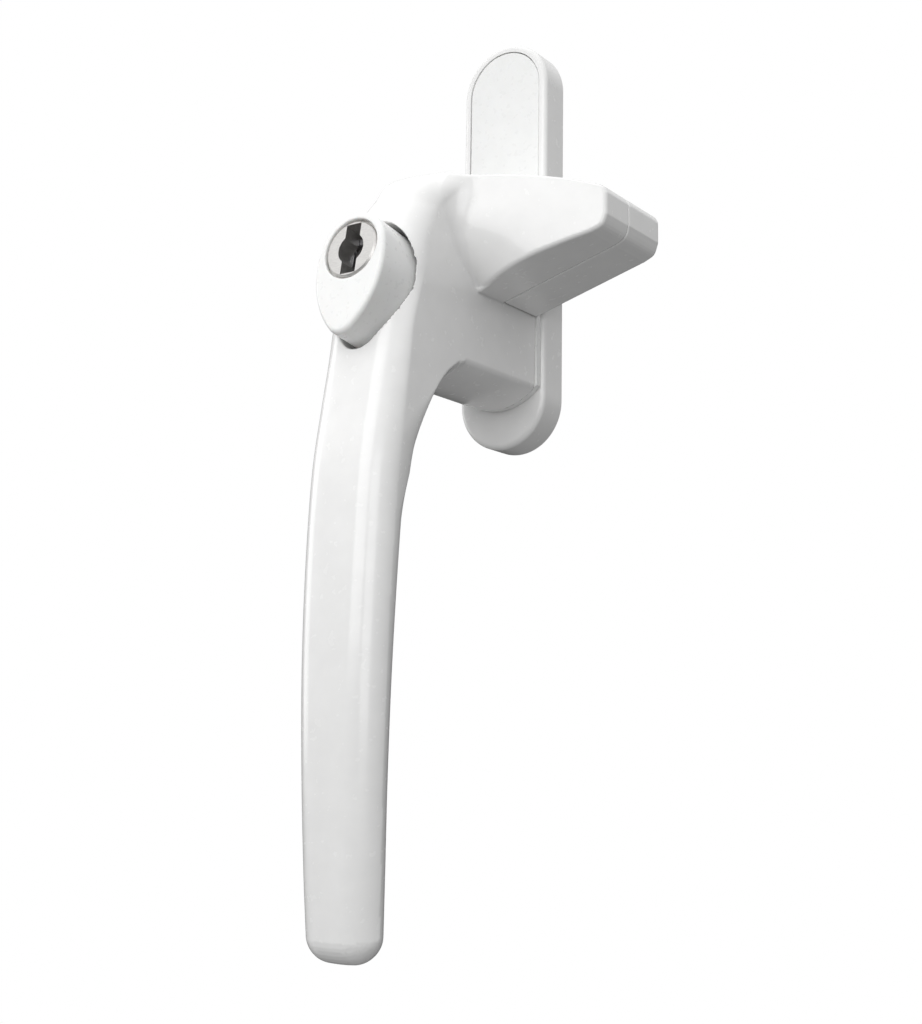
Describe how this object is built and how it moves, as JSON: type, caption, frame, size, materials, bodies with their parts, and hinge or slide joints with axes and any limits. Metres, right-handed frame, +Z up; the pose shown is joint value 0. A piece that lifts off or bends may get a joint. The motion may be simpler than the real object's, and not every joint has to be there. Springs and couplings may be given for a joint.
{
  "type": "cockspur window handle",
  "caption": "Keyed cockspur window handle: obround base plate with cover cap, swinging cast lever with tapered nose, and push button with key cylinder.",
  "frame": {"origin": "on the handle's pivot axis, at the base plate's back face", "axes": "+Y out of the back face into the sash, +Z up along the plate, +X towards the nose's side"},
  "size_m": [0.0464, 0.0584, 0.1803],
  "materials": {
    "white_paint": "gloss",
    "white_plastic": "gloss",
    "nickel": "satin",
    "bronze": "satin",
    "zinc_steel": "satin",
    "spring_steel": "satin"
  },
  "bodies": {
    "base": {"base_plate": "white_paint", "cover_cap": "white_plastic", "pivot_bush": "bronze"},
    "handle": {"handle": "white_paint", "nose_block": "white_plastic", "nose_screws": "zinc_steel", "bearing_washer": "white_plastic", "pivot_spindle": "zinc_steel", "spring_washer": "spring_steel", "retaining_washer": "zinc_steel", "spindle_circlip": "spring_steel", "button_spring": "spring_steel", "pin_spring": "spring_steel"},
    "button": {"push_button": "white_plastic", "lock_barrel": "nickel", "barrel_pin": "zinc_steel", "barrel_cover": "bronze", "latch_spring": "spring_steel"},
    "plug": {"key_plug": "nickel", "wafers": "spring_steel"},
    "latch": {"latch": "zinc_steel"},
    "pin": {"locking_pin": "zinc_steel"}
  },
  "joints": [
    {"name": "handle_turn", "type": "hinge", "parent": "base", "child": "handle", "pos_m": [0, 0, 0], "axis": [0, 1, 0], "range_deg": [0, 90]},
    {"name": "button_press", "type": "slide", "parent": "handle", "child": "button", "axis": [0, 0.9848, -0.1736], "range_m": [0, 0.0045], "stiffness_N_per_m": 400, "springref_m": -0.0045, "deforming": ["button_spring"]},
    {"name": "key_turn", "type": "hinge", "parent": "button", "child": "plug", "pos_m": [0, -0.0552, 0.0072], "axis": [0, 0.9848, -0.1736], "range_deg": [0, 90]},
    {"name": "latch_slide", "type": "slide", "parent": "button", "child": "latch", "axis": [0, -0.1736, -0.9848], "range_m": [0, 0.00151], "deforming": ["latch_spring"]},
    {"name": "pin_slide", "type": "slide", "parent": "handle", "child": "pin", "axis": [0, 1, 0], "range_m": [0, 0.00458], "deforming": ["pin_spring"]}
  ],
  "couplings": [
    {"joint": "latch_slide", "follows": "key_turn", "m_per_rad": 0.00095493},
    {"joint": "pin_slide", "follows": "button_press", "ratio": 1.0154}
  ]
}
